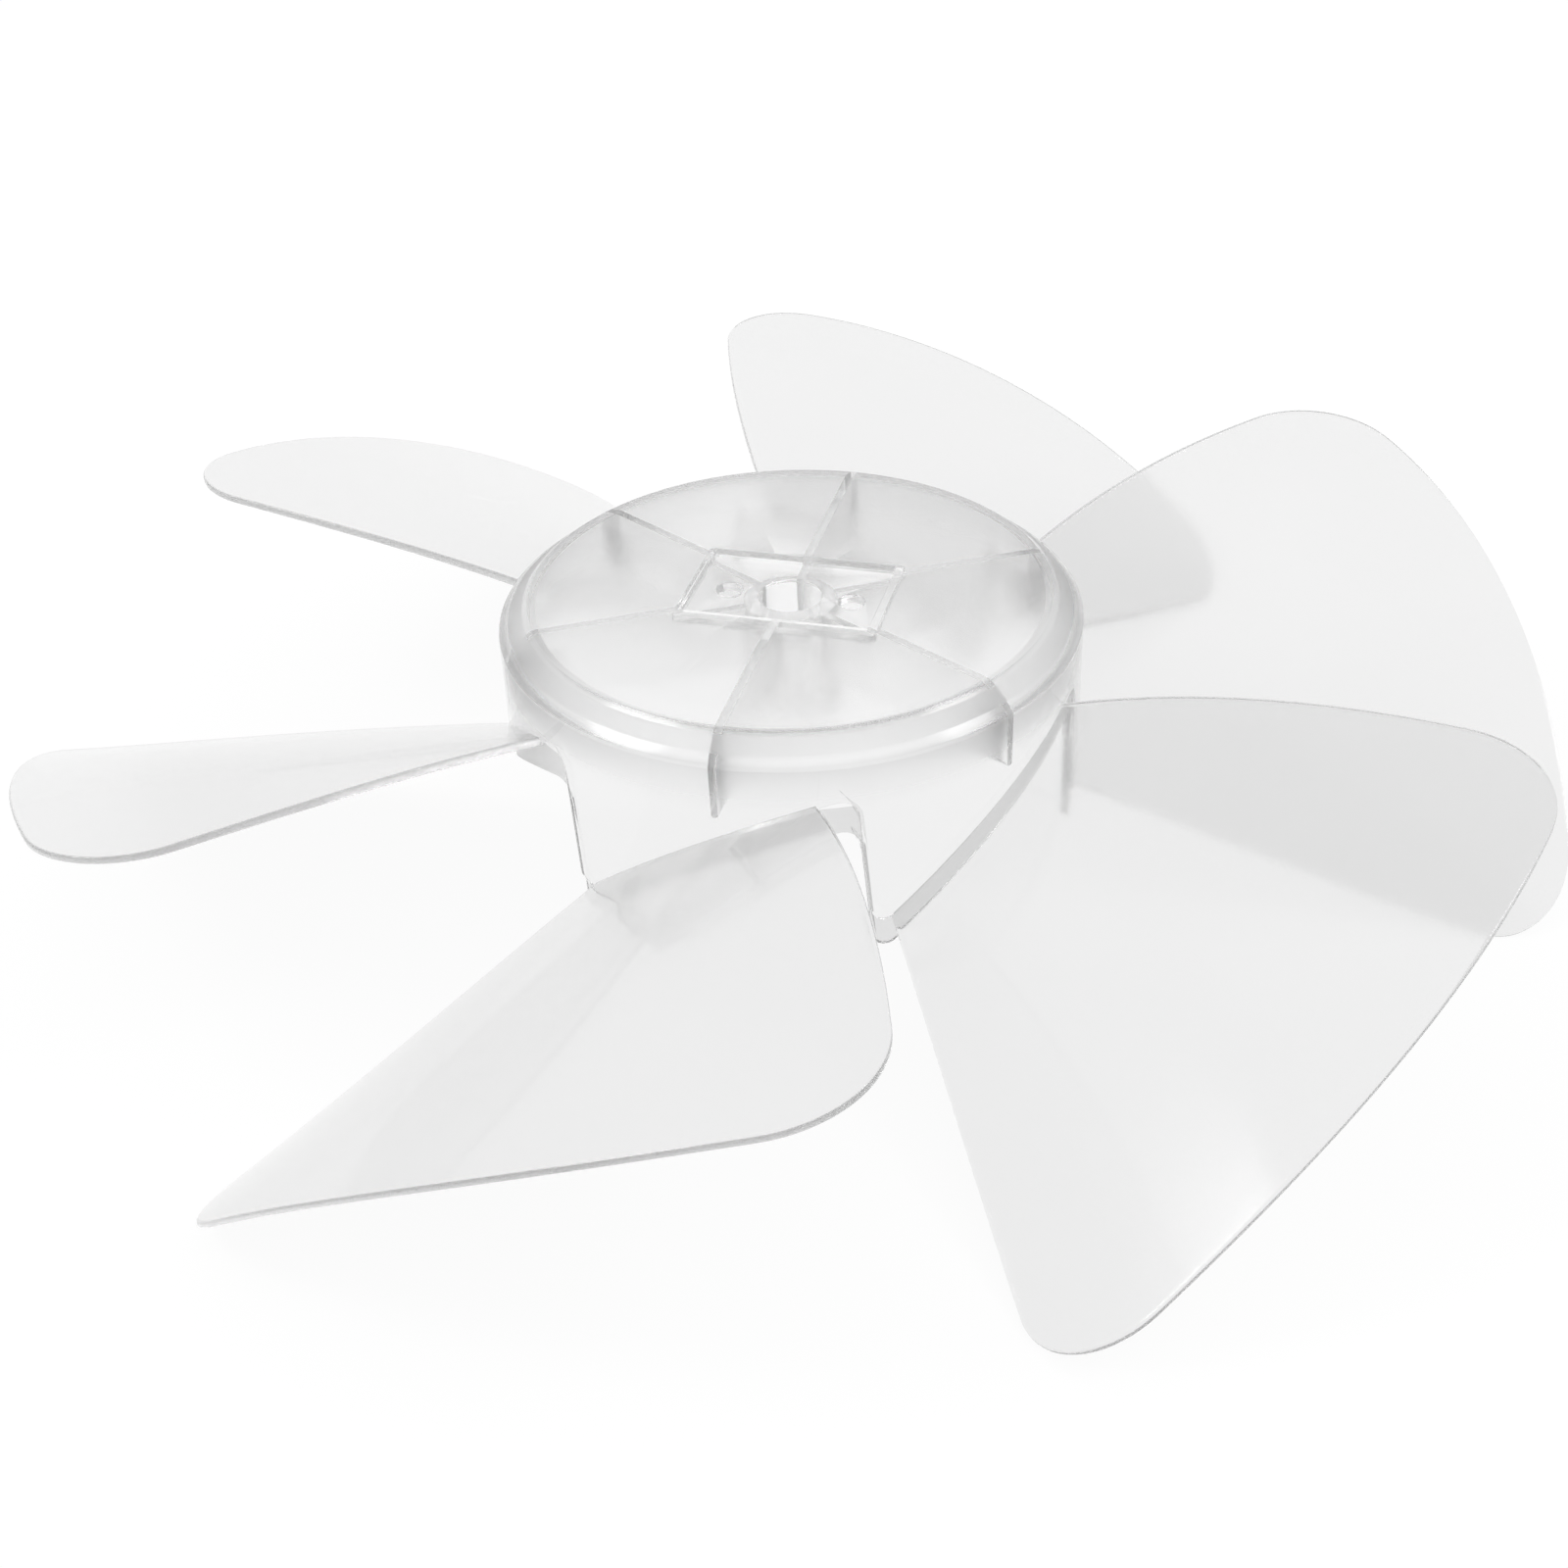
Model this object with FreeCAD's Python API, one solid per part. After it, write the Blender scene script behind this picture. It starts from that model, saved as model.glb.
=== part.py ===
import FreeCAD, Part
import os
from math import atan2, cos, hypot, radians, sin, tan

# Six-bladed impeller of a pedestal fan, injection moulded in one piece from translucent plastic.
# Millimetres. Z is the shaft axis and points to the front, X runs along the long side of the recess
# in the disc. Heights are given from the front face of the disc; the finished part is moved so that
# its origin is on the shaft axis, on the seat of the nut. Seen from the front it turns clockwise.

# Hub: a cup with a flat disc, a bevelled rim and a wall
HUB_R = 65.0            # outside of the wall
BEVEL_W = 6.7           # bevel between disc and wall, along the radius
BEVEL_H = 5.4           # and along the shaft
RIM_BREAK = 0.5         # both edges of the bevel are broken by this much
DISC_T = 2.0            # disc and bevel
WALL_T = 2.4            # wall in front of the blade roots
SKIRT_T = 1.4           # thinner wall that goes on behind the blade roots
SKIRT_H = 9.0           # how far the skirt reaches behind the blade roots

# Rear edge of the wall: one tooth per blade, climbing along the blade root to a steep flank
BLADES = 6
FLANK_LEAN = 7.0        # the flank leans off the shaft's direction, so that it leaves the mould
TOOTH_TIP_ROUND = 3.2
TOOTH_GAP_ROUND = 4.2

# Blade in plan: angles are measured from the blade's middle line, the leading side is negative
BLADE_ANGLE = 25.3      # middle line of the first blade, from X
LEAD_ROOT_ANGLE = -22.4
LEAD_TIP_ANGLE = -26.2
TRAIL_ROOT_ANGLE = 23.5
TRAIL_TIP_ANGLE = 25.1
TRAIL_BOW = 3.8         # outward bulge of the trailing edge
LEAD_TIP_R = 176.7
MID_TIP_R = 172.0
TRAIL_TIP_R = 170.0
LEAD_TIP_ROUND = 16.6
TRAIL_TIP_ROUND = 22.6

# Blade in section, at its root, halfway and at its tip: height of the front skin on the middle
# line, pitch, radius of the camber, thickness
ROOT_Z = -27.8
ROOT_PITCH = 31.3
ROOT_CAMBER_R = 101.0
ROOT_T = 2.2
MID_Z = -22.2
MID_PITCH = 27.3
MID_CAMBER_R = 142.0
MID_T = 1.8
TIP_Z = -22.9
TIP_PITCH = 21.5
TIP_CAMBER_R = 240.0
TIP_T = 1.4
TRIM = 6.0              # the skins reach past the outline by this much before they are trimmed

# Recess in the front of the disc, with two peg holes and the shaft boss behind it
RECESS_L = 42.0
RECESS_W = 28.0
RECESS_DEPTH = 2.0
PEG_SPACING = 28.0
PEG_HOLE_D = 6.0
BOSS_D = 21.0
BOSS_END_Z = -32.0
SHAFT_BORE_D = 8.0
NUT_BORE_D = 14.2
NUT_BORE_DEPTH = 9.0
PIN_SLOT_W = 4.2
PIN_SLOT_DEPTH = 6.0

# Ribs behind the disc, from the boss to the wall
RIBS = 6
RIB_T = 2.0
RIB_END_Z = -19.0
FIRST_RIB_ANGLE = 30.0

V = FreeCAD.Vector
O = V(0, 0, 0)
Z_AXIS = V(0, 0, 1)
TOUCH = 0.01            # what lies closer than this is the same place

disc_r = HUB_R - BEVEL_W
wall_in_r = HUB_R - WALL_T
skirt_r = wall_in_r + SKIRT_T
root_r = wall_in_r + SKIRT_T / 2
bevel_slope = atan2(BEVEL_H, BEVEL_W)
disc_in_r = disc_r - DISC_T * tan(bevel_slope / 2)
wall_top_z = -DISC_T - (wall_in_r - disc_in_r) * tan(bevel_slope)
floor_z = -RECESS_DEPTH
nut_seat_z = floor_z - NUT_BORE_DEPTH
tray_back_z = floor_z - DISC_T
boss_mid_r = (NUT_BORE_D + BOSS_D) / 4
half_pitch = 180.0 / BLADES
skin_half_width = (LEAD_TIP_R + TRIM) * tan(radians(half_pitch))
deep_z = -(HUB_R + skin_half_width)
skin_x = [HUB_R * cos(radians(half_pitch)) - TRIM, 0, LEAD_TIP_R + TRIM]
skin_x[1] = (skin_x[0] + skin_x[2]) / 2


def polar(radius, angle, z=0.0):
    return V(radius * cos(radians(angle)), radius * sin(radians(angle)), z)


def polar_copies(shape, count, first_angle):
    return [shape.rotated(O, Z_AXIS, first_angle + i * 360.0 / count) for i in range(count)]


def profile(corners):
    # Face in the XZ plane through corners given as (x, z, break), each corner cut off by its break
    points = [V(x, 0, z) for x, z, cut_off in corners]
    outline = []
    for i, corner in enumerate(points):
        cut_off = corners[i][2]
        to_last = (points[i - 1] - corner).normalize()
        to_next = (points[(i + 1) % len(points)] - corner).normalize()
        outline.append(corner + to_last * cut_off)
        if cut_off:
            outline.append(corner + to_next * cut_off)
    return Part.Face(Part.makePolygon(outline + outline[:1]))


def turned(corners):
    return profile(corners).revolve(O, Z_AXIS, 360)


def cylinder(diameter, top_z, bottom_z):
    return Part.makeCylinder(diameter / 2, top_z - bottom_z, V(0, 0, bottom_z))


def block(length, width, top_z, bottom_z):
    return Part.makeBox(length, width, top_z - bottom_z, V(-length / 2, -width / 2, bottom_z))


def upright_edges(shape, corner):
    # Edges along Z that stand over the given corner
    return [e for e in shape.Edges
            if all(hypot(v.X - corner.x, v.Y - corner.y) < TOUCH for v in e.Vertexes)]


def axis_distance(point):
    return hypot(point.x, point.y)


def section_heights(z, pitch, camber_r):
    # A parabola across the blade, as the heights of its three control points
    rise = skin_half_width * tan(radians(pitch))
    sag = skin_half_width ** 2 / (2 * camber_r)
    return [z - rise - sag, z + sag, z + rise - sag]


def under_skin(root_drop, mid_drop, tip_drop):
    # All that lies behind a blade's front skin, lowered by the given amounts
    root = section_heights(ROOT_Z - root_drop, ROOT_PITCH, ROOT_CAMBER_R)
    mid = section_heights(MID_Z - mid_drop, MID_PITCH, MID_CAMBER_R)
    tip = section_heights(TIP_Z - tip_drop, TIP_PITCH, TIP_CAMBER_R)
    bridge = [2 * m - (r + t) / 2 for r, m, t in zip(root, mid, tip)]
    skin = Part.BezierSurface()
    skin.increase(2, 2)
    for i, heights in enumerate([root, bridge, tip]):
        for j, z in enumerate(heights):
            skin.setPole(i + 1, j + 1, V(skin_x[i], (j - 1) * skin_half_width, z))
    skin.increase(3, 3)     # the same shape, which this degree turns into fewer facets
    return skin.toShape().extrude(V(0, 0, 2 * deep_z))


def blade_plan():
    # Prism over the plan outline, its root buried in the skirt, its two tip corners rounded
    lead_root = polar(root_r, LEAD_ROOT_ANGLE, deep_z)
    lead_tip = polar(LEAD_TIP_R, LEAD_TIP_ANGLE, deep_z)
    trail_tip = polar(TRAIL_TIP_R, TRAIL_TIP_ANGLE, deep_z)
    trail_root = polar(root_r, TRAIL_ROOT_ANGLE, deep_z)
    along = (trail_tip - trail_root).normalize()
    bulge = (trail_root + trail_tip) / 2 + V(-along.y, along.x, 0) * TRAIL_BOW
    outline = Part.Wire([
        Part.makeLine(lead_root, lead_tip),
        Part.Arc(lead_tip, polar(MID_TIP_R, 0, deep_z), trail_tip).toShape(),
        Part.Arc(trail_tip, bulge, trail_root).toShape(),
        Part.Arc(trail_root, polar(root_r, 0, deep_z), lead_root).toShape(),
    ])
    prism = Part.Face(outline).extrude(V(0, 0, -2 * deep_z))
    prism = prism.makeFillet(LEAD_TIP_ROUND, upright_edges(prism, lead_tip))
    return prism.makeFillet(TRAIL_TIP_ROUND, upright_edges(prism, trail_tip))


def blade():
    return blade_plan().common(under_skin(0, 0, 0)).cut(under_skin(ROOT_T, MID_T, TIP_T))


def tooth_gap(drop):
    # What is missing from the wall behind one blade root: under the skin, up to the steep flank
    sector = []
    for x in (skin_x[0], HUB_R + TRIM):
        side_y = x * tan(radians(half_pitch))
        flank_shift = -deep_z * tan(radians(FLANK_LEAN)) * x / HUB_R
        corners = [V(x, -side_y - TRIM, 0), V(x, side_y, 0),
                   V(x, side_y + flank_shift, deep_z), V(x, -side_y - TRIM, deep_z)]
        sector.append(Part.makePolygon(corners + corners[:1]))
    gap = under_skin(drop, drop, drop).common(Part.makeLoft(sector, True, True))
    top_edge = max(gap.Edges, key=lambda e: e.CenterOfMass.z)
    return gap.makeFillet(TOOTH_GAP_ROUND, [top_edge])


def toothed_ring(outer_r, drop):
    # Wall of the hub with its toothed rear edge, the tip of each tooth rounded
    gaps = polar_copies(tooth_gap(drop), BLADES, BLADE_ANGLE)
    gaps = gaps[0].multiFuse(gaps[1:])
    through_wall = [e for e in gaps.Edges if e.CenterOfMass.z > deep_z + TOUCH
                    and min(axis_distance(v.Point) for v in e.Vertexes) < wall_in_r
                    and max(axis_distance(v.Point) for v in e.Vertexes) > HUB_R]
    through_wall.sort(key=lambda e: e.CenterOfMass.z)
    gaps = gaps.makeFillet(TOOTH_TIP_ROUND, through_wall[:BLADES])
    ring = turned([(wall_in_r, wall_top_z, 0), (outer_r, wall_top_z, 0),
                   (outer_r, deep_z, 0), (wall_in_r, deep_z, 0)])
    return ring.cut(gaps)


def front_cap():
    # Disc and bevel, with the first of the wall
    cap_end_z = wall_top_z - WALL_T
    return turned([(0, 0, 0), (disc_r, 0, RIM_BREAK), (HUB_R, -BEVEL_H, RIM_BREAK), (HUB_R, cap_end_z, 0),
                   (wall_in_r, cap_end_z, 0), (wall_in_r, wall_top_z, 0), (disc_in_r, -DISC_T, 0),
                   (0, -DISC_T, 0)])


def rib():
    # Upright plate from the boss into the wall, its front edge buried in the disc and the bevel
    plate = profile([(boss_mid_r, -DISC_T / 2, 0), (disc_in_r, -DISC_T / 2, 0), (root_r, wall_top_z, 0),
                     (root_r, RIB_END_Z, 0), (boss_mid_r, RIB_END_Z, 0)])
    return plate.translated(V(0, -RIB_T / 2, 0)).extrude(V(0, RIB_T, 0))


# The hub is joined first, then the blades, then everything that is open is cut
hub = front_cap().fuse([
    toothed_ring(HUB_R, ROOT_T / 2),
    toothed_ring(skirt_r, SKIRT_H),
    block(RECESS_L + 2 * DISC_T, RECESS_W + 2 * DISC_T, -DISC_T / 2, tray_back_z),
    cylinder(BOSS_D, -DISC_T / 2, BOSS_END_Z),
] + polar_copies(rib(), RIBS, FIRST_RIB_ANGLE))
fan = hub.fuse(polar_copies(blade(), BLADES, BLADE_ANGLE))

peg_hole = cylinder(PEG_HOLE_D, 0, deep_z)
fan = fan.cut([
    block(RECESS_L, RECESS_W, DISC_T, floor_z),
    cylinder(NUT_BORE_D, 0, nut_seat_z),
    cylinder(SHAFT_BORE_D, 0, deep_z),
    peg_hole.translated(V(-PEG_SPACING / 2, 0, 0)),
    peg_hole.translated(V(PEG_SPACING / 2, 0, 0)),
    block(BOSS_D + TRIM, PIN_SLOT_W, BOSS_END_Z + PIN_SLOT_DEPTH, deep_z),
]).removeSplitter()

os.makedirs("parts", exist_ok=True)
fan.translated(V(0, 0, -nut_seat_z)).Solids[0].exportStep("parts/fan_blade.step")
print("solids", len(fan.Solids), "valid", fan.isValid(), "volume", round(fan.Volume))
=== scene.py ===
import bmesh
import bpy
from math import atan, atan2, ceil, cos, pi, radians, sin, tan
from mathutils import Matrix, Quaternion, Vector
from mathutils.geometry import intersect_line_sphere_2d, intersect_sphere_sphere_2d


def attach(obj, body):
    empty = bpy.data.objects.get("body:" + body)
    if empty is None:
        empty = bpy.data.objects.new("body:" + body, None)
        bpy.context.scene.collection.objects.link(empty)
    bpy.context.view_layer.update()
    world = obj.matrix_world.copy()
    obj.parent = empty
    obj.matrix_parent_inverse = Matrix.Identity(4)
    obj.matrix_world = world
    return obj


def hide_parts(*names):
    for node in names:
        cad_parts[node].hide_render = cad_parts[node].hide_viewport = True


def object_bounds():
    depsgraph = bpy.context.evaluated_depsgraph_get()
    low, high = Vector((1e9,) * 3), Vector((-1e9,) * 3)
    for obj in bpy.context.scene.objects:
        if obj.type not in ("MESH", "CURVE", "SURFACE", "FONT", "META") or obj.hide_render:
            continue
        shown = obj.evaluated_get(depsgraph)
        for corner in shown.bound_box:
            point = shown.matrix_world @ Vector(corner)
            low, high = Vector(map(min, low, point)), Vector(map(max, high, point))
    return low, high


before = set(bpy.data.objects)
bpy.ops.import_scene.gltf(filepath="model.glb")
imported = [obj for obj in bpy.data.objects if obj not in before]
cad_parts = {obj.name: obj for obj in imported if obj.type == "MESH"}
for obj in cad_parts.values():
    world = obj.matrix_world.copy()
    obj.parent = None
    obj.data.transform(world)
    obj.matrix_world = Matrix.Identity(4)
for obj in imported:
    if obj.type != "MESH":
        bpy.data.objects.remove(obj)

cad_low, cad_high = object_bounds()

# Blades: six twisted and cambered vanes that thin out towards the tip, in the same shot of clear
# plastic as the hub. Sizes of the whole moulding are in millimetres, with heights from the front
# face of the disc, and each blade's angles are from its middle line, the leading side negative.
BLADES = 6
BLADE_ANGLE = 25.3
ROOT_R = 63.3
LEAD_ROOT_ANGLE = -22.4
LEAD_TIP_ANGLE = -26.2
TRAIL_ROOT_ANGLE = 23.5
TRAIL_TIP_ANGLE = 25.1
TRAIL_BOW = 3.8
LEAD_TIP_R = 176.7
MID_TIP_R = 172.0
TRAIL_TIP_R = 170.0
LEAD_TIP_ROUND = 16.6
TRAIL_TIP_ROUND = 22.6
FRONT_EDGE_ROUND = 0.6
REAR_EDGE_ROUND = 0.35
FRONT_EDGE_STEPS = 5
REAR_EDGE_STEPS = 3
OUTLINE_STEP = 3.2
CORNER_STEP = 1.7
SKIN_RINGS = 14
SKIN_MARGIN = 1.5
BLADE_SECTIONS = {
    "Root X": 50.29, "Tip X": 182.7,
    "Root Height": -27.8, "Root Slope": tan(radians(31.3)), "Root Camber": 101.0, "Root Thickness": 2.2,
    "Mid Height": -22.2, "Mid Slope": tan(radians(27.3)), "Mid Camber": 142.0, "Mid Thickness": 1.8,
    "Tip Height": -22.9, "Tip Slope": tan(radians(21.5)), "Tip Camber": 240.0, "Tip Thickness": 1.4,
}


class Flow:
    """A socket of a node tree: sums on it add Math nodes, and node() adds any other node."""

    def __init__(self, tree, socket=None):
        self.tree = tree
        self.socket = socket

    def node(self, kind, settings=None, sockets=None, output=0):
        made = self.tree.nodes.new(kind)
        for name, value in (settings or {}).items():
            setattr(made, name, value)
        for name, value in (sockets or {}).items():
            for one in value if isinstance(value, list) else [value]:
                if isinstance(one, Flow):
                    self.tree.links.new(one.socket, made.inputs[name])
                else:
                    made.inputs[name].default_value = one
        return Flow(self.tree, made.outputs[output] if made.outputs else None)

    def math(self, operation, first, second=0.0):
        return self.node("ShaderNodeMath", {"operation": operation}, {0: first, 1: second})

    def __add__(self, other):
        return self.math("ADD", self, other)

    def __sub__(self, other):
        return self.math("SUBTRACT", self, other)

    def __rsub__(self, other):
        return self.math("SUBTRACT", other, self)

    def __mul__(self, other):
        return self.math("MULTIPLY", self, other)

    def __truediv__(self, other):
        return self.math("DIVIDE", self, other)

    __radd__ = __add__
    __rmul__ = __mul__


def thirds(along, root, mid, tip):
    # A smooth course through what is given at the root, halfway and at the tip
    return (root * (1 - along) * (1 - 2 * along) + mid * 4 * along * (1 - along)
            + tip * along * (2 * along - 1))


def span_part(x, sizes):
    return (x - sizes["Root X"]) / (sizes["Tip X"] - sizes["Root X"])


def skin_height(x, y, sizes):
    # Front skin of a blade: a parabola across the blade, its pitch and camber easing off to the tip
    sections = [sizes[s + " Height"] + y * sizes[s + " Slope"] - y * y / (2 * sizes[s + " Camber"])
                for s in ("Root", "Mid", "Tip")]
    return thirds(span_part(x, sizes), *sections)


def polar(radius, angle):
    return Vector((radius * cos(radians(angle)), radius * sin(radians(angle))))


def circle_through(a, b, c):
    d = 2 * (a.x * (b.y - c.y) + b.x * (c.y - a.y) + c.x * (a.y - b.y))
    squares = [p.length_squared for p in (a, b, c)]
    x = (squares[0] * (b.y - c.y) + squares[1] * (c.y - a.y) + squares[2] * (a.y - b.y)) / d
    y = (squares[0] * (c.x - b.x) + squares[1] * (a.x - c.x) + squares[2] * (b.x - a.x)) / d
    return Vector((x, y)), (a - Vector((x, y))).length


def arc(centre, start, end, step):
    # Points on the short way round from start, short of end
    first = start - centre
    turn = -first.angle_signed(end - centre)
    count = ceil(abs(turn) * first.length / step)
    points = []
    for i in range(count):
        a = atan2(first.y, first.x) + turn * i / count
        points.append(centre + first.length * Vector((cos(a), sin(a))))
    return points


def nearest(points, place):
    return min(points, key=lambda p: (p - place).length)


def loft(name, rings):
    # Closed mesh through rings of as many points each; both end rings are closed to their middle
    mesh = bpy.data.meshes.new(name)
    count = len(rings[0])
    ends = [sum((Vector(p) for p in ring), Vector((0, 0, 0))) / count for ring in (rings[0], rings[-1])]
    faces = []
    for i in range(count):
        j = (i + 1) % count
        for k in range(len(rings) - 1):
            faces.append((k * count + i, k * count + j, (k + 1) * count + j, (k + 1) * count + i))
        last = (len(rings) - 1) * count
        faces.append((last + i, last + j, len(rings) * count + 1))
        faces.append((j, i, len(rings) * count))
    mesh.from_pydata([p for ring in rings for p in ring] + ends, [], faces)
    work = bmesh.new()
    work.from_mesh(mesh)
    bmesh.ops.recalc_face_normals(work, faces=work.faces)
    work.to_mesh(mesh)
    work.free()
    piece = bpy.data.objects.new(name, mesh)
    bpy.context.scene.collection.objects.link(piece)
    return piece


def blade_outline(step, corner_step):
    lead_root = polar(ROOT_R, LEAD_ROOT_ANGLE)
    lead_tip = polar(LEAD_TIP_R, LEAD_TIP_ANGLE)
    trail_tip = polar(TRAIL_TIP_R, TRAIL_TIP_ANGLE)
    trail_root = polar(ROOT_R, TRAIL_ROOT_ANGLE)
    along = (trail_tip - trail_root).normalized()
    bulge = (trail_root + trail_tip) / 2 + TRAIL_BOW * Vector((-along.y, along.x))
    tip_middle, tip_r = circle_through(lead_tip, polar(MID_TIP_R, 0), trail_tip)
    trail_middle, trail_r = circle_through(trail_tip, bulge, trail_root)

    lead = (lead_tip - lead_root).normalized()
    inwards = LEAD_TIP_ROUND * Vector((-lead.y, lead.x))
    reach = tip_r - LEAD_TIP_ROUND
    lead_corner = nearest(
        intersect_line_sphere_2d(lead_root + inwards, lead_tip + inwards, tip_middle, reach, False), lead_tip)
    reach = tip_r - TRAIL_TIP_ROUND
    trail_corner = nearest(
        intersect_sphere_sphere_2d(tip_middle, reach, trail_middle, trail_r - TRAIL_TIP_ROUND), trail_tip)

    lead_end = lead_corner - inwards
    tip_start = tip_middle + (lead_corner - tip_middle).normalized() * tip_r
    tip_end = tip_middle + (trail_corner - tip_middle).normalized() * tip_r
    trail_start = trail_middle + (trail_corner - trail_middle).normalized() * trail_r
    count = ceil((lead_end - lead_root).length / step)
    return ([lead_root.lerp(lead_end, i / count) for i in range(count)]
            + arc(lead_corner, lead_end, tip_start, corner_step)
            + arc(tip_middle, tip_start, tip_end, step)
            + arc(trail_corner, tip_end, trail_start, corner_step)
            + arc(trail_middle, trail_start, trail_root, step)
            + arc(Vector((0, 0)), trail_root, lead_root, step))


def inset(outline, distance):
    # The closed outline moved inwards, to the left of its run
    moved = []
    for i, place in enumerate(outline):
        run = (outline[(i + 1) % len(outline)] - outline[i - 1]).normalized()
        moved.append(place + distance * Vector((-run.y, run.x)))
    return moved


def flat_blade():
    # The blade laid flat: its height runs from 0 on the front skin to -1 on the rear one
    outline = blade_outline(OUTLINE_STEP, CORNER_STEP)
    middle = polar((ROOT_R + MID_TIP_R) / 2, 0)

    def half(edge_round, steps):
        # Rings from the middle of a skin out over its rounded edge, with their depths
        inner = inset(outline, SKIN_MARGIN * edge_round)
        rings = []
        for i in range(1, SKIN_RINGS + 1):
            rings.append(([middle.lerp(p, i / SKIN_RINGS) for p in inner], 0.0))
        for i in range(steps + 1):
            turn = pi / 2 * i / steps
            depth = edge_round * (1 - cos(turn)) / BLADE_SECTIONS["Mid Thickness"]
            rings.append((inset(outline, edge_round * (1 - sin(turn))), depth))
        return rings

    front = half(FRONT_EDGE_ROUND, FRONT_EDGE_STEPS)
    rear = half(REAR_EDGE_ROUND, REAR_EDGE_STEPS)
    rings = [[(p.x, p.y, -depth) for p in ring] for ring, depth in front]
    rings += [[(p.x, p.y, depth - 1) for p in ring] for ring, depth in reversed(rear)]
    return loft("blades", rings)


def add_inputs(tree, sizes):
    # Named inputs of a geometry tree with their values, as flows by name
    tree.interface.new_socket("Geometry", in_out="INPUT", socket_type="NodeSocketGeometry")
    for name, value in sizes.items():
        kind = "NodeSocketInt" if isinstance(value, int) else "NodeSocketFloat"
        tree.interface.new_socket(name, in_out="INPUT", socket_type=kind)
    given = tree.nodes.new("NodeGroupInput")
    return {socket.name: Flow(tree, socket) for socket in given.outputs if socket.name}


def add_output(tree, geometry):
    tree.interface.new_socket("Geometry", in_out="OUTPUT", socket_type="NodeSocketGeometry")
    tree.links.new(geometry.socket, tree.nodes.new("NodeGroupOutput").inputs[0])


def polar_copies(shape, count, first_angle):
    # As many copies as count, evenly round the shaft from the first angle
    index = shape.node("GeometryNodeInputIndex")
    turn = first_angle + index * (2 * pi) / count
    spin = shape.node("ShaderNodeCombineXYZ", None, {"Z": turn})
    spots = shape.node("GeometryNodePoints", None, {"Count": count})
    copies = shape.node("GeometryNodeInstanceOnPoints", None,
                        {"Points": spots, "Instance": shape, "Rotation": spin})
    return copies.node("GeometryNodeRealizeInstances", None, {"Geometry": copies})


def run_tree(piece, tree, sizes):
    # Puts a geometry tree on a piece, with its sizes set by the sockets' identifiers
    step = piece.modifiers.new(tree.name, "NODES")
    step.node_group = tree
    for item in tree.interface.items_tree:
        if item.in_out == "INPUT" and item.name in sizes:
            step[item.identifier] = sizes[item.name]


blade_sizes = {**BLADE_SECTIONS, "Count": BLADES, "First Angle": radians(BLADE_ANGLE)}
twist = bpy.data.node_groups.new("twisted_blades", "GeometryNodeTree")
given = add_inputs(twist, blade_sizes)
place = given["Geometry"].node("GeometryNodeInputPosition")
x, y, depth = [place.node("ShaderNodeSeparateXYZ", None, {0: place}, axis) for axis in "XYZ"]
thickness = thirds(span_part(x, given), *[given[s + " Thickness"] for s in ("Root", "Mid", "Tip")])
height = skin_height(x, y, given) + depth * thickness
bent = place.node("ShaderNodeCombineXYZ", None, {"X": x, "Y": y, "Z": height})
skin = place.node("GeometryNodeSetPosition", None, {"Geometry": given["Geometry"], "Position": bent})
add_output(twist, polar_copies(skin, given["Count"], given["First Angle"]))
blades = flat_blade()
run_tree(blades, twist, blade_sizes)

# Hub: a cup with a flat disc, a bevelled rim and a wall whose rear edge is cut into one tooth per
# blade, each climbing along the blade's root to a steep flank. A thinner skirt goes on behind the
# roots, set back from the wall, and every edge has the small rounding of a polished mould.
HUB_R = 65.0
BEVEL_W = 6.7
BEVEL_H = 5.4
RIM_ROUND = 0.8
DISC_T = 2.0
WALL_T = 2.4
WALL_EDGE_ROUND = 0.4
SKIRT_T = 1.4
SKIRT_DROP = 9.0
SKIRT_SETBACK = 0.2
INNER_ROUND = 3.0
FLANK_LEAN = 7.0
TOOTH_TIP_ROUND = 3.2
TOOTH_GAP_ROUND = 4.2
COLUMNS = 80
ROOT_STEPS = 40
MEETING_STEPS = 12
TOOTH_ROUND_STEPS = 10
DISC_RINGS = (3, 16, 29, 40, 49)
RIM_RING = 55
WALL_RINGS = (0.15, 0.3, 0.45, 0.6, 0.75, 0.9)
SKIRT_RINGS = (0.3, 0.65)
INNER_RINGS = (0.0, 0.1, 0.25, 0.4, 0.55, 0.7, 0.85)

half_pitch = pi / BLADES
wall_in_r = HUB_R - WALL_T
skirt_r = wall_in_r + SKIRT_T
bevel_slope = atan2(BEVEL_H, BEVEL_W)
disc_in_r = HUB_R - BEVEL_W - DISC_T * tan(bevel_slope / 2)
wall_top = -DISC_T - (wall_in_r - disc_in_r) * tan(bevel_slope)


def walk(points, i, step, length):
    # The place this far along the line from point i, and the index of the next point
    gap = (points[i + step] - points[i]).length
    while gap < length:
        length -= gap
        i += step
        gap = (points[i + step] - points[i]).length
    return points[i].lerp(points[i + step], length / gap), i + step


def rounded(points, roundings, steps=6):
    # A line with some of its corners, given as {index: radius}, turned into arcs
    line = []
    taken = 0
    for corner, radius in roundings.items():
        back = points[corner - 1] - points[corner]
        ahead = points[corner + 1] - points[corner]
        half = back.angle(ahead) / 2
        start, before = walk(points, corner, -1, radius / tan(half))
        end, after = walk(points, corner, 1, radius / tan(half))
        line += points[taken:before + 1]
        for i in range(steps + 1):
            t = i / steps
            weights = ((1 - t) ** 2, 2 * t * (1 - t) * sin(half), t ** 2)
            line.append((start * weights[0] + points[corner] * weights[1] + end * weights[2]) / sum(weights))
        taken = after
    return line + points[taken:]


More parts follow.
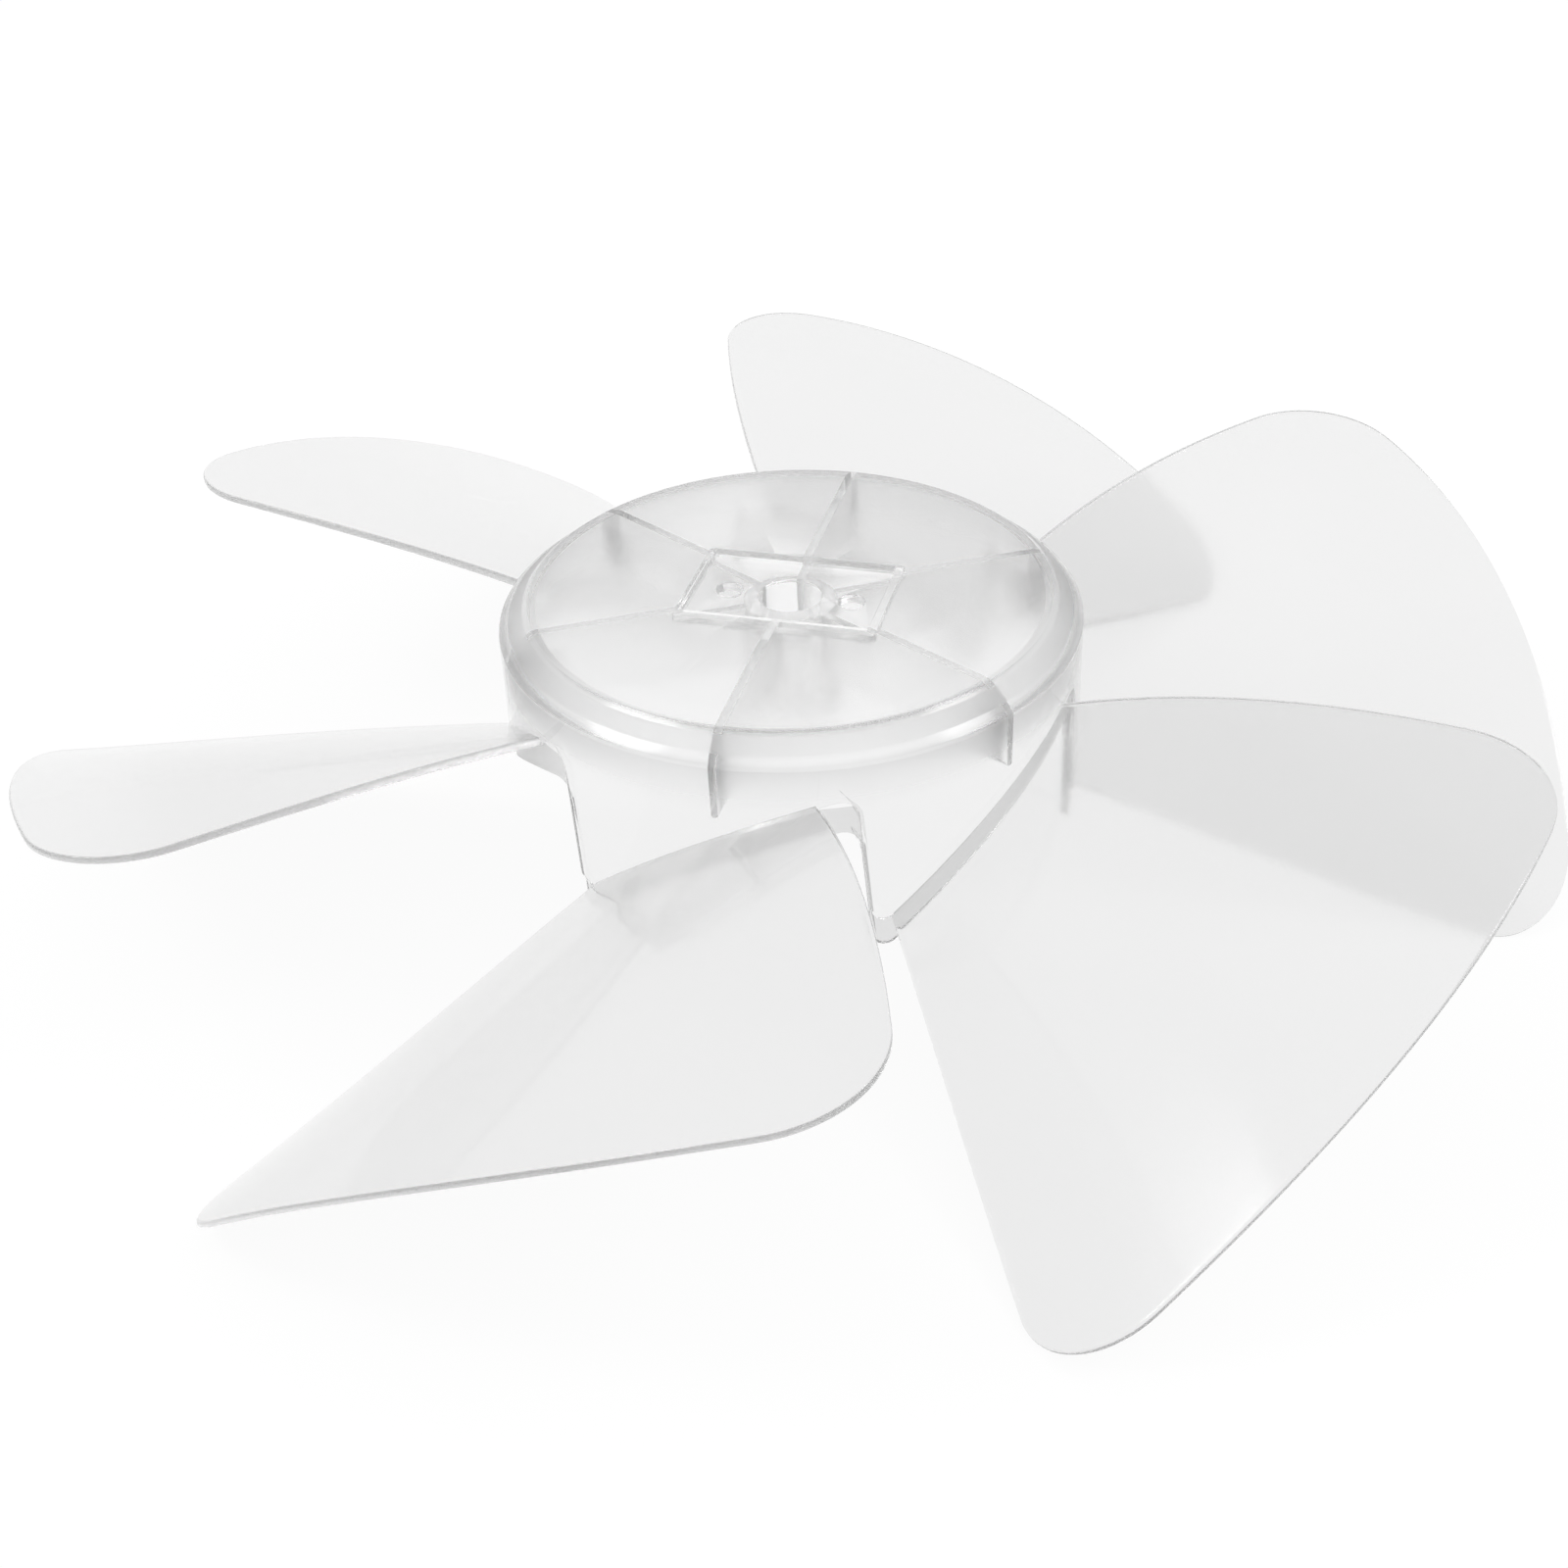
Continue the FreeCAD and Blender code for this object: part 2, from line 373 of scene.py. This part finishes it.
def evenly(points, count):
    # As many points as count at even steps along the line, short of its end
    total = sum((b - a).length for a, b in zip(points, points[1:]))
    return [walk(points, 0, 1, total * i / count)[0] for i in range(count)]


def flank_angle(z):
    return atan(tan(half_pitch) - z / HUB_R * tan(radians(FLANK_LEAN)))


def tooth_line(radius, drop, setback, lift=0.0):
    # One tooth's edge as angles and heights, from the middle of one flank to the middle of the next;
    # lift moves it into the wall
    def meet(turn):
        z = -drop
        for _ in range(MEETING_STEPS):
            angle = flank_angle(z) - setback / radius + turn
            z = skin_height(radius * cos(angle), radius * sin(angle), BLADE_SECTIONS) - drop
        return Vector((radius * angle, z))

    tip = meet(-2 * half_pitch)
    gap = meet(0)
    pitch = Vector((radius * 2 * half_pitch, 0))
    root_line = []
    for i in range(1, ROOT_STEPS):
        angle = (tip.x + (gap.x - tip.x) * i / ROOT_STEPS) / radius
        z = skin_height(radius * cos(angle), radius * sin(angle), BLADE_SECTIONS) - drop
        root_line.append(Vector((radius * angle, z)))
    flank_end = (gap + tip + pitch) / 2
    corners = [flank_end - pitch, tip] + root_line + [gap, flank_end]
    roundings = {1: TOOTH_TIP_ROUND, len(corners) - 2: TOOTH_GAP_ROUND}
    line = evenly(rounded(corners, roundings, TOOTH_ROUND_STEPS), COLUMNS)
    closed = [line[-1] - pitch] + line + [line[0] + pitch]
    lifted = []
    for before, place, after in zip(closed, closed[1:], closed[2:]):
        run = (after - before).normalized()
        lifted.append(place + lift * Vector((-run.y, run.x)))
    return [(p.x / radius, p.y) for p in lifted]


def hub_ring(radius, line):
    # A ring of points from one tooth's angles and heights, copied for every blade
    ring = []
    for blade in range(BLADES):
        for angle, z in line:
            a = angle + radians(BLADE_ANGLE) + blade * 2 * half_pitch
            ring.append((radius * cos(a), radius * sin(a), z))
    return ring


def level(z):
    start = tooth_line(HUB_R, 0, 0)[0][0]
    return [(start + 2 * half_pitch * i / COLUMNS, z) for i in range(COLUMNS)]


def between(upper, lower, parts):
    # Lines that lead from one to the other
    return [[(a + (c - a) * t, b + (d - b) * t) for (a, b), (c, d) in zip(upper, lower)] for t in parts]


def quarter_round(radius):
    # Steps over a rounded edge: how far in from the side, and how far short of the end
    turns = [radians(turn) for turn in (0, 30, 60, 90)]
    return [(radius * (1 - cos(turn)), radius * (1 - sin(turn))) for turn in turns]


def edge_rings(outer_r, line_at, rounding):
    # Round the end of a wall, from its outside over its edge towards the inside
    rings = [hub_ring(outer_r, line_at(outer_r, 2 * rounding))]
    rings += [hub_ring(outer_r - in_by, line_at(outer_r, short)) for in_by, short in quarter_round(rounding)]
    return rings


def hub_cup():
    outside = [Vector((r, 0)) for r in DISC_RINGS + (RIM_RING,)]
    outside += [Vector((HUB_R - BEVEL_W, 0)), Vector((HUB_R, -BEVEL_H)), Vector((HUB_R, wall_top))]
    outside = rounded(outside, {len(outside) - 3: RIM_ROUND, len(outside) - 2: RIM_ROUND})
    rings = [hub_ring(p.x, level(p.y)) for p in outside]

    def wall_line(radius, lift):
        return tooth_line(radius, BLADE_SECTIONS["Root Thickness"] / 2, 0, lift)

    def skirt_line(radius, lift):
        return tooth_line(radius, SKIRT_DROP, SKIRT_SETBACK, lift)

    edge = wall_line(HUB_R, 2 * WALL_EDGE_ROUND)
    rings += [hub_ring(HUB_R, line) for line in between(level(wall_top), edge, WALL_RINGS)]
    rings += edge_rings(HUB_R, wall_line, WALL_EDGE_ROUND)
    step = wall_line(skirt_r, 0)
    rings.append(hub_ring(skirt_r, step))
    edge = skirt_line(skirt_r, 2 * WALL_EDGE_ROUND)
    rings += [hub_ring(skirt_r, line) for line in between(step, edge, SKIRT_RINGS)]
    rings += edge_rings(skirt_r, skirt_line, WALL_EDGE_ROUND)
    for in_by, short in reversed(quarter_round(WALL_EDGE_ROUND)):
        rings.append(hub_ring(wall_in_r + in_by, skirt_line(wall_in_r, short)))
    edge = skirt_line(wall_in_r, 2 * WALL_EDGE_ROUND)
    inner_top = wall_top - 2 * INNER_ROUND
    rings += [hub_ring(wall_in_r, line) for line in between(edge, level(inner_top), INNER_RINGS)]
    inside = [Vector((wall_in_r, inner_top)), Vector((wall_in_r, wall_top)), Vector((disc_in_r, -DISC_T))]
    inside += [Vector((r, -DISC_T)) for r in reversed(DISC_RINGS)]
    rings += [hub_ring(p.x, level(p.y)) for p in rounded(inside, {1: INNER_ROUND, 2: INNER_ROUND})]
    return loft("hub_cup", rings)


cup = hub_cup()

# Ribs, tray and boss: behind the disc six ribs run from the shaft boss to the wall, and a shallow
# tray holds the floor of the recess. They are plain walls with draft and softened ends, moulded on.
RIBS = 6
RIB_T = 2.0
RIB_DRAFT = 0.3
RIB_END = -19.0
FIRST_RIB_ANGLE = 30.0
BURIED = -1.0
TRAY_L = 46.0
TRAY_W = 32.0
TRAY_END = -4.0
TRAY_CORNER = 1.5
BOSS_D = 21.0
BOSS_END = -32.0
BOSS_CORE_R = 8.8
SOFT_EDGE = 0.5
RIB_PROFILE = (-1.0, -0.87, -0.5, 0.0, 0.5, 0.87, 1.0)
ROUND_SIDES = 72
CORNER_SIDES = 5


def round_ring(radius, z, centre_x=0.0, count=ROUND_SIDES):
    return [(centre_x + radius * cos(2 * pi * i / count), radius * sin(2 * pi * i / count), z)
            for i in range(count)]


def box_ring(length, width, corner, z):
    # A rectangle with rounded corners
    ring = []
    for sx, sy, first in ((1, 1, 0), (-1, 1, 90), (-1, -1, 180), (1, -1, 270)):
        for i in range(CORNER_SIDES + 1):
            a = radians(first + 90 * i / CORNER_SIDES)
            ring.append((sx * (length / 2 - corner) + corner * cos(a),
                         sy * (width / 2 - corner) + corner * sin(a), z))
    return ring


def soft_end(make_ring, size, end):
    # Rings that round the edge of a rear end
    return [make_ring(size - in_by, end + short) for in_by, short in quarter_round(SOFT_EDGE)]


def one_rib():
    # Side view of the rib, repeated across its thickness; its rear edge is rounded and it has draft
    rings = []
    half = RIB_T / 2
    for across in RIB_PROFILE:
        end = RIB_END + SOFT_EDGE * (1 - (1 - across ** 2) ** 0.5)
        side = [(BOSS_CORE_R, BURIED), (disc_in_r, BURIED), (ROOT_R, wall_top)]
        side += [(ROOT_R, end), (BOSS_CORE_R, end)]
        rings.append([(x, across * (half - RIB_DRAFT * z / RIB_END), z) for x, z in side])
    return loft("ribs", rings)


def tray_ring(grow, z):
    return box_ring(TRAY_L + 2 * grow, TRAY_W + 2 * grow, TRAY_CORNER, z)


tray = loft("tray", [tray_ring(0.0, BURIED)] + soft_end(tray_ring, 0.0, TRAY_END))
boss = loft("boss", [round_ring(BOSS_D / 2, BURIED)] + soft_end(round_ring, BOSS_D / 2, BOSS_END))
rib_sizes = {"Count": RIBS, "First Angle": radians(FIRST_RIB_ANGLE)}
spokes = bpy.data.node_groups.new("rib_spokes", "GeometryNodeTree")
given = add_inputs(spokes, rib_sizes)
add_output(spokes, polar_copies(given["Geometry"], given["Count"], given["First Angle"]))
ribs = one_rib()
run_tree(ribs, spokes, rib_sizes)

# Openings: a recess in the disc for the spinner, a bore for its nut, the shaft bore behind it, two
# peg holes and the slot for the shaft's cross pin. All come from cores in the mould, with rims that
# are slightly eased.
RECESS_L = 42.0
RECESS_W = 28.0
RECESS_FLOOR = -2.0
RECESS_CORNER = 0.8
NUT_BORE_R = 7.1
NUT_SEAT = -11.0
SHAFT_BORE_R = 4.0
PEG_HOLE_R = 3.0
PEG_X = 14.0
PIN_SLOT_W = 4.2
PIN_SLOT_TOP = -26.0
RIM_EASE = 0.35
CLEAR = 3.0
PEG_SIDES = 48


def eased_core(name, make_ring, size, top, bottom):
    # A core whose rim flares out where it leaves the surface at top, down to its end at bottom
    rings = [make_ring(size + RIM_EASE, top + CLEAR)]
    rings += [make_ring(size + out_by, top - down_by) for down_by, out_by in quarter_round(RIM_EASE)]
    rings.append(make_ring(size, bottom))
    return loft(name, rings)


def recess_ring(grow, z):
    return box_ring(RECESS_L + 2 * grow, RECESS_W + 2 * grow, RECESS_CORNER + grow, z)


recess = eased_core("recess", recess_ring, 0.0, 0.0, RECESS_FLOOR)
nut_bore = eased_core("nut_bore", round_ring, NUT_BORE_R, RECESS_FLOOR, NUT_SEAT)
shaft_bore = eased_core("shaft_bore", round_ring, SHAFT_BORE_R, NUT_SEAT, BOSS_END - CLEAR)
cores = [recess, nut_bore, shaft_bore]
for side in (-1, 1):
    cores.append(eased_core("peg_hole", lambda radius, z: round_ring(radius, z, side * PEG_X, PEG_SIDES),
                            PEG_HOLE_R, RECESS_FLOOR, TRAY_END - CLEAR))
slot_rings = [box_ring(BOSS_D + 2 * CLEAR, PIN_SLOT_W, RIM_EASE, z) for z in (PIN_SLOT_TOP, BOSS_END - CLEAR)]
cores.append(loft("pin_slot", slot_rings))

# Moulding: the pieces above are one body of clear, faintly clouded plastic, so they are joined and
# the openings are cut from them, as the cores leave them. The mould is polished outside and satin on
# the blades, and its core side is matt. Tints and finishes go by radius and height on the moulding:
# the blades have the plastic's own grey, the rest of the hub is painted lighter as painted light, and
# the outer wall face, the outer ends of the ribs and the skirt are painted darker as painted shade.
MM = 0.001
# The blades' tint is the plastic's own grey. The hub's lighter tint is painted light, and the darker tints of
# the outer wall face, the rib ends and the skirt are painted shade.
HUB_PAINTED_LIGHT_TINT = 0.985
BLADE_TINT = 0.88
WALL_PAINTED_SHADE_TINT = 0.88
RIB_PAINTED_SHADE_TINT = 0.68
SKIRT_PAINTED_SHADE_TINT = 0.66
POLISHED = 0.03
BLADE_SATIN = 0.11
RIM_SATIN = 0.13
RIB_SATIN = 0.19
WALL_MATT = 0.13
MATT = 0.25
BEVEL_MATT = 0.6
REFRACTION = 1.5
GLOSS_TINT = (0.5, 0.5, 0.5, 1.0)
CLOUD_SCALE = 22.0
CLOUD_DETAIL = 2.0
CLOUD_TINT = 0.02
CLOUD_ROUGHNESS = 0.03
INSIDE_R = 62.8
SKIRT_FROM_R = 63.0
SKIRT_TO_R = 64.5
WALL_FACE_R = 64.6
RIM_TO_R = 65.2
BLADE_FROM_R = 65.3
RECESS_MARGIN = 0.5
RIB_OUT_R = 60.5
RIB_TOP = -2.4
RIB_SHADE_FROM_R = 50.0
RIB_SHADE_FULL_R = 61.0
RIB_SHADE_TOP = -7.0
INNER_BEVEL_R = 56.5
INNER_WALL_TOP = -4.0
BEVEL_FADE_START = -17.0
BEVEL_FADE_END = -7.0
RIM_END = -6.5
WALL_FACE_TOP = -6.0
SKIRT_FACE_TOP = -16.0
SLIVER = 0.00001
SHARP_ANGLE = 38.0
plastic = bpy.data.materials.new("clear_plastic")
plastic.use_nodes = True
plastic.node_tree.nodes.clear()
look = Flow(plastic.node_tree)
spot = look.node("ShaderNodeTexCoord", None, None, "Object")
x, y, z = [look.node("ShaderNodeSeparateXYZ", None, {0: spot}, axis) / MM for axis in "XYZ"]
radius = look.math("SQRT", x * x + y * y)
height = z - cad_high[2] / MM


def below(value, limit):
    return look.math("LESS_THAN", value, limit)


def ramp(value, start, end):
    return look.node("ShaderNodeClamp", None, {"Value": (value - start) / (end - start)})


over_recess = (below(look.math("ABSOLUTE", x), RECESS_L / 2 + RECESS_MARGIN)
               * below(look.math("ABSOLUTE", y), RECESS_W / 2 + RECESS_MARGIN))
blade = below(BLADE_FROM_R, radius)
# Painted shade: the outer face of the wall is darkened to the blades' grey.
wall_face_shade = below(WALL_FACE_R, radius) * below(radius, BLADE_FROM_R) * below(height, WALL_FACE_TOP)
# The skirt is matt, and its darker tint is painted shade: the dark band behind the blade roots.
skirt = below(SKIRT_FROM_R, radius) * below(radius, SKIRT_TO_R) * below(height, SKIRT_FACE_TOP)
inside = below(radius, INSIDE_R) * below(height, RECESS_FLOOR * over_recess - DISC_T / 2)
rim = (below(HUB_R - BEVEL_W - RIM_ROUND, radius) * below(radius, RIM_TO_R) * below(RIM_END, height)
       * (1.0 - inside))
rib_side = below(radius, RIB_OUT_R) * below(height, RIB_TOP) * (1.0 - over_recess)
# Painted shade: the ribs darken towards their outer ends, so they show as grey bands through the disc and the
# bevel.
rib_end_shade = (below(radius, RIB_SHADE_FULL_R) * below(height, RIB_SHADE_TOP)
           * ramp(radius, RIB_SHADE_FROM_R, RIB_SHADE_FULL_R))
to_bevel = ramp(height, BEVEL_FADE_START, BEVEL_FADE_END)
inner_bevel = inside * below(INNER_BEVEL_R, radius) * to_bevel
inner_wall = inside * below(RIB_OUT_R, radius) * below(height, INNER_WALL_TOP) * (1.0 - to_bevel)
cloud = look.node("ShaderNodeTexNoise", None, {
    "Vector": spot, "Scale": CLOUD_SCALE, "Detail": CLOUD_DETAIL}) - 0.5
# Tone: the plastic's own grey on the blades and its faint random cloud, with painted light on the hub and
# painted shade on the outer wall face, the rib ends and the skirt.
tone_with_painted_light_and_shade = HUB_PAINTED_LIGHT_TINT + blade * (BLADE_TINT - HUB_PAINTED_LIGHT_TINT) + wall_face_shade * (WALL_PAINTED_SHADE_TINT - HUB_PAINTED_LIGHT_TINT)
tone_with_painted_light_and_shade += rib_end_shade * (RIB_PAINTED_SHADE_TINT - HUB_PAINTED_LIGHT_TINT) + skirt * (SKIRT_PAINTED_SHADE_TINT - HUB_PAINTED_LIGHT_TINT) + cloud * CLOUD_TINT
roughness = POLISHED + blade * (BLADE_SATIN - POLISHED) + rim * (RIM_SATIN - POLISHED)
roughness += (inside + skirt) * (MATT - POLISHED) + rib_side * (RIB_SATIN - MATT)
roughness += inner_bevel * (BEVEL_MATT - MATT) + inner_wall * (WALL_MATT - MATT) + cloud * CLOUD_ROUGHNESS
grey_with_painted_light_and_shade = look.node("ShaderNodeCombineColor", None, {0: tone_with_painted_light_and_shade, 1: tone_with_painted_light_and_shade, 2: tone_with_painted_light_and_shade})
surface = look.node("ShaderNodeBsdfPrincipled", None, {
    "Base Color": grey_with_painted_light_and_shade, "Roughness": roughness, "IOR": REFRACTION, "Transmission Weight": 1.0,
    "Specular Tint": GLOSS_TINT})
look.node("ShaderNodeOutputMaterial", None, {"Surface": surface})

shot = bpy.data.node_groups.new("one_shot", "GeometryNodeTree")
start = Flow(shot)


def geometry_of(piece):
    return start.node("GeometryNodeObjectInfo", None, {"Object": piece}, "Geometry")


solid = start.node("GeometryNodeMeshBoolean", {"operation": "UNION", "solver": "MANIFOLD"},
                   {"Mesh 2": [geometry_of(piece) for piece in (cup, blades, ribs, tray, boss)]})
cut = start.node("GeometryNodeMeshBoolean", {"operation": "DIFFERENCE", "solver": "MANIFOLD"},
                 {"Mesh 1": solid, "Mesh 2": [geometry_of(core) for core in cores]})
smooth = start.node("GeometryNodeSetShadeSmooth", None, {"Geometry": cut})
placed = start.node("GeometryNodeTransform", None,
                    {"Geometry": smooth, "Scale": (MM, MM, MM), "Translation": (0, 0, cad_high[2])})
whole = start.node("GeometryNodeRealizeInstances", None, {"Geometry": placed})
add_output(shot, start.node("GeometryNodeSetMaterial", None, {"Geometry": whole, "Material": plastic}))
mould = bpy.data.objects.new("mould", bpy.data.meshes.new("mould"))
bpy.context.scene.collection.objects.link(mould)
run_tree(mould, shot, {})
ready = mould.evaluated_get(bpy.context.evaluated_depsgraph_get())
moulding = bpy.data.objects.new("fan_moulding", bpy.data.meshes.new_from_object(ready))
moulding.data.name = "fan_moulding"
bpy.context.scene.collection.objects.link(moulding)
for helper in [mould, cup, blades, ribs, tray, boss] + cores:
    bpy.data.objects.remove(helper)
work = bmesh.new()
work.from_mesh(moulding.data)
bmesh.ops.remove_doubles(work, verts=work.verts, dist=SLIVER)
bmesh.ops.dissolve_degenerate(work, edges=work.edges, dist=SLIVER)
work.to_mesh(moulding.data)
work.free()
moulding.data.set_sharp_from_angle(angle=radians(SHARP_ANGLE))
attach(moulding, "root")
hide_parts("fan_blade")

# Floor: a wide white sheet under the six blade tips that the fan rests on. It shows as plain white
# and keeps a faint shadow.
FLOOR_REACH = 4.0
FLOOR_WHITE = 0.95
FLOOR_PAINT = (0.95, 0.95, 0.95, 1.0)
WHITE = (1.0, 1.0, 1.0, 1.0)
corners = [(x * FLOOR_REACH, y * FLOOR_REACH, cad_low[2]) for x, y in ((-1, -1), (1, -1), (1, 1), (-1, 1))]
sheet = bpy.data.meshes.new("floor")
sheet.from_pydata(corners, [], [(0, 1, 2, 3)])
floor = bpy.data.objects.new("floor", sheet)
bpy.context.scene.collection.objects.link(floor)
white = bpy.data.materials.new("white_sheet")
white.use_nodes = True
white.node_tree.nodes.clear()
paint = Flow(white.node_tree)
seen = [paint.node("ShaderNodeLightPath", None, None, name)
        for name in ("Is Camera Ray", "Is Glossy Ray", "Is Transmission Ray")]
direct = paint.math("MAXIMUM", paint.math("MAXIMUM", seen[0], seen[1]), seen[2])
matt = paint.node("ShaderNodeBsdfDiffuse", None, {"Color": FLOOR_PAINT})
glow = paint.node("ShaderNodeEmission", None, {"Color": WHITE})
both = paint.node("ShaderNodeMixShader", None, {0: direct * FLOOR_WHITE, 1: matt, 2: glow})
paint.node("ShaderNodeOutputMaterial", None, {"Surface": both})
sheet.materials.append(white)

# Light: a white studio all round gives the plastic its tones, with two soft boxes to the left and
# the right, at heights where they show as gloss on the bevel.
BOX_REACH = 1.5
SOFT_BOXES = (
    ("left_box", -158.0, 50.0, 0.5, 8.0),
    ("right_box", 10.0, 48.0, 0.4, 5.0),
)
studio = bpy.data.worlds.new("studio")
studio.use_nodes = True
studio.node_tree.nodes["Background"].inputs["Color"].default_value = WHITE
studio.node_tree.nodes["Background"].inputs["Strength"].default_value = 1.0
bpy.context.scene.world = studio
studio.cycles.sampling_method = "NONE"
for name, azimuth, elevation, size, power in SOFT_BOXES:
    lamp = bpy.data.lights.new(name, "AREA")
    lamp.shape = "SQUARE"
    lamp.size = size
    lamp.energy = power
    box = bpy.data.objects.new(name, lamp)
    flat = polar(BOX_REACH * cos(radians(elevation)), azimuth)
    box.location = (flat.x, flat.y, BOX_REACH * sin(radians(elevation)))
    box.rotation_mode = "QUATERNION"
    box.rotation_quaternion = (-box.location).to_track_quat("-Z", "Y")
    bpy.context.scene.collection.objects.link(box)

# Camera: it looks down on the fan from in front of two blades, slightly rolled. The rays that run on
# inside the plastic are followed far enough to come out again.
EYE = Vector((0.11927, -0.43006, 0.26019))
AIM = Vector((-0.00285, -0.00081, -0.04160))
ROLL = radians(-2.2)
LENS = 52.7
SENSOR = 36.0
RAY_STEPS = 128
view = bpy.data.cameras.new("camera")
view.lens = LENS
view.sensor_width = SENSOR
camera = bpy.data.objects.new("camera", view)
camera.location = EYE
camera.rotation_mode = "QUATERNION"
camera.rotation_quaternion = (AIM - EYE).to_track_quat("-Z", "Y") @ Quaternion((0, 0, 1), ROLL)
bpy.context.scene.collection.objects.link(camera)
bpy.context.scene.camera = camera
bpy.context.scene.view_settings.view_transform = "Standard"
bpy.context.scene.cycles.max_bounces = RAY_STEPS
bpy.context.scene.cycles.transmission_bounces = RAY_STEPS
bpy.context.scene.cycles.glossy_bounces = RAY_STEPS
bpy.context.scene.cycles.caustics_refractive = False
bpy.context.scene.cycles.caustics_reflective = False
